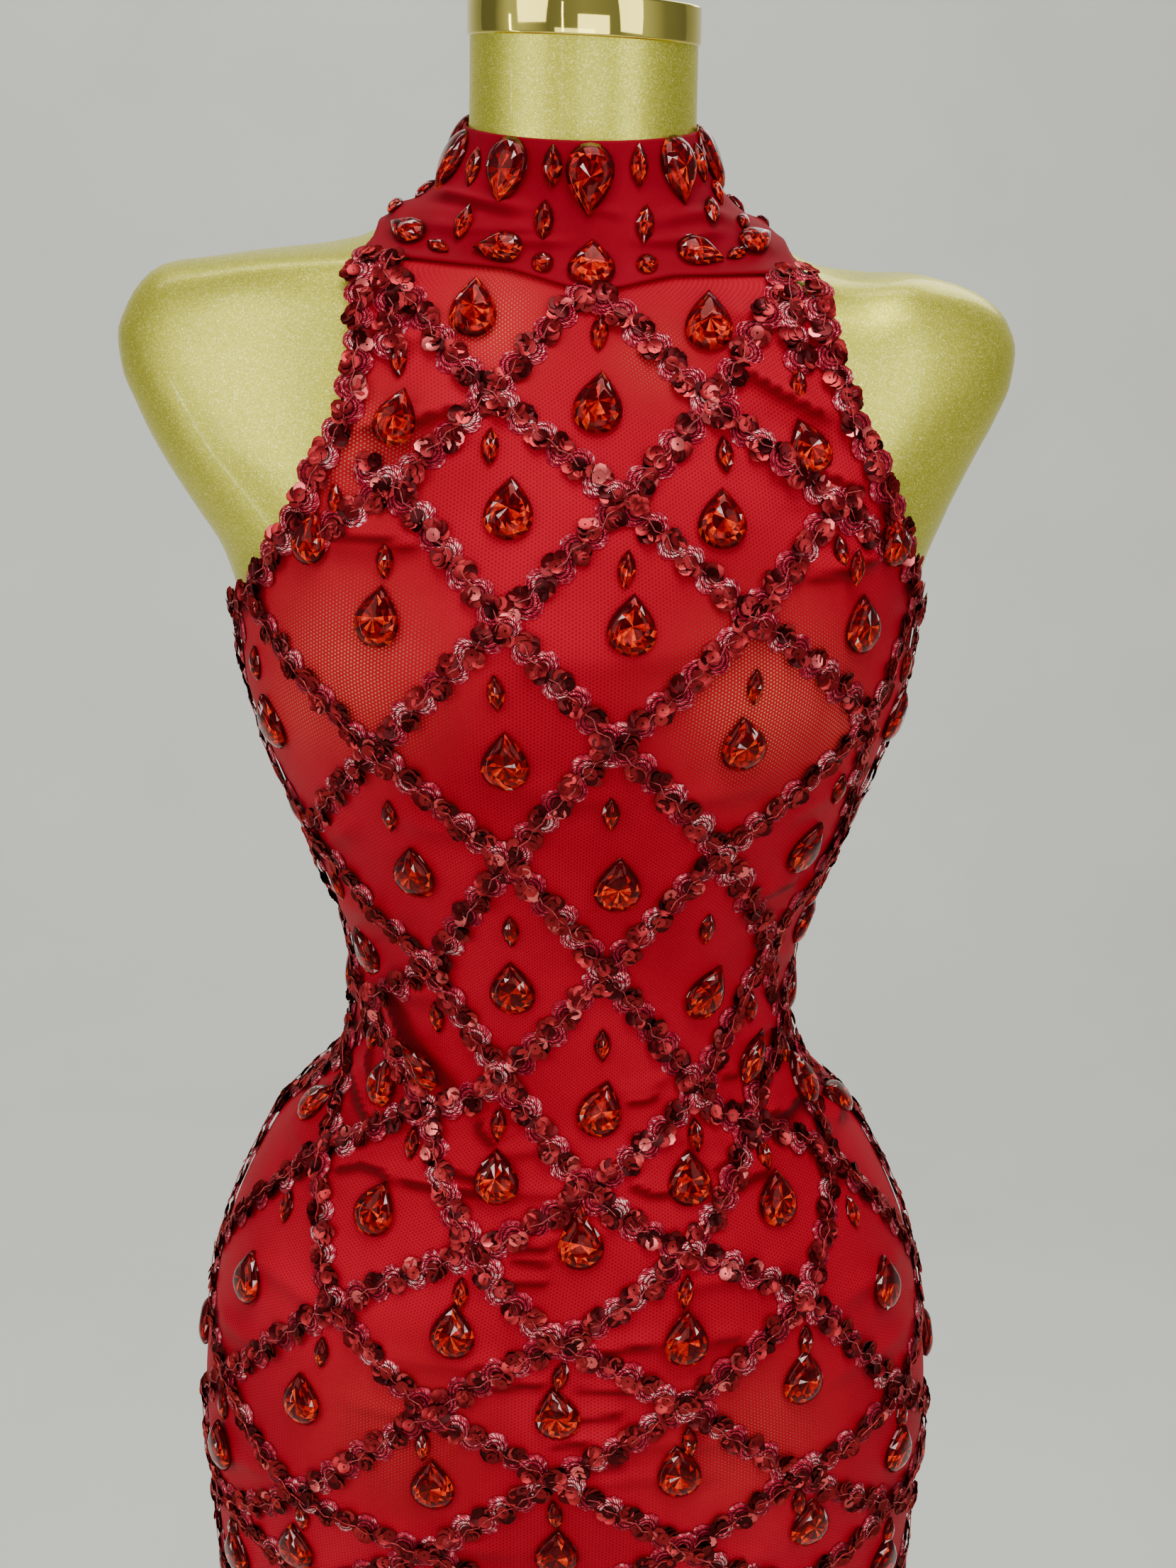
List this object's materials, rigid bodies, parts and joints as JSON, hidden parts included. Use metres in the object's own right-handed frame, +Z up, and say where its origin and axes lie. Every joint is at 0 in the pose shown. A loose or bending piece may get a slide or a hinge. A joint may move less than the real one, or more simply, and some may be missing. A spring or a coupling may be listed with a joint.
{
  "type": "evening gown on a dress form",
  "caption": "Floor-length red halter gown in stretch mesh with a lattice of sequin trim and glass stones, worn by a gold limbless dress form on a round base.",
  "frame": {"origin": "centre of the base plate's underside, on the floor", "axes": "+Z up, along the pole and the neck; -Y is the wearer's front; +X is to the right for someone who faces the gown's front"},
  "size_m": [0.383, 0.3358, 1.5128],
  "materials": {
    "red_mesh": "sheer stretch power mesh, matt with a faint sheen",
    "red_jersey": "opaque stretch jersey, matt",
    "sequin_trim": "metallic thread gimp with flat sequins, glinting",
    "gold_paint": "glossy champagne gold metallic paint over moulded fibreglass",
    "polished_gold": "mirror polish",
    "steel": "brushed, clear lacquer"
  },
  "bodies": {
    "root": {"front": "red_mesh", "back": "red_mesh", "collar": "red_jersey", "armhole_trim_left": "sequin_trim", "armhole_trim_right": "sequin_trim", "nape_button_1": "red_jersey", "nape_button_2": "red_jersey", "nape_button_3": "red_jersey", "form_torso": "gold_paint", "neck_cap": "polished_gold", "pole": "steel", "base": "steel"}
  },
  "joints": []
}
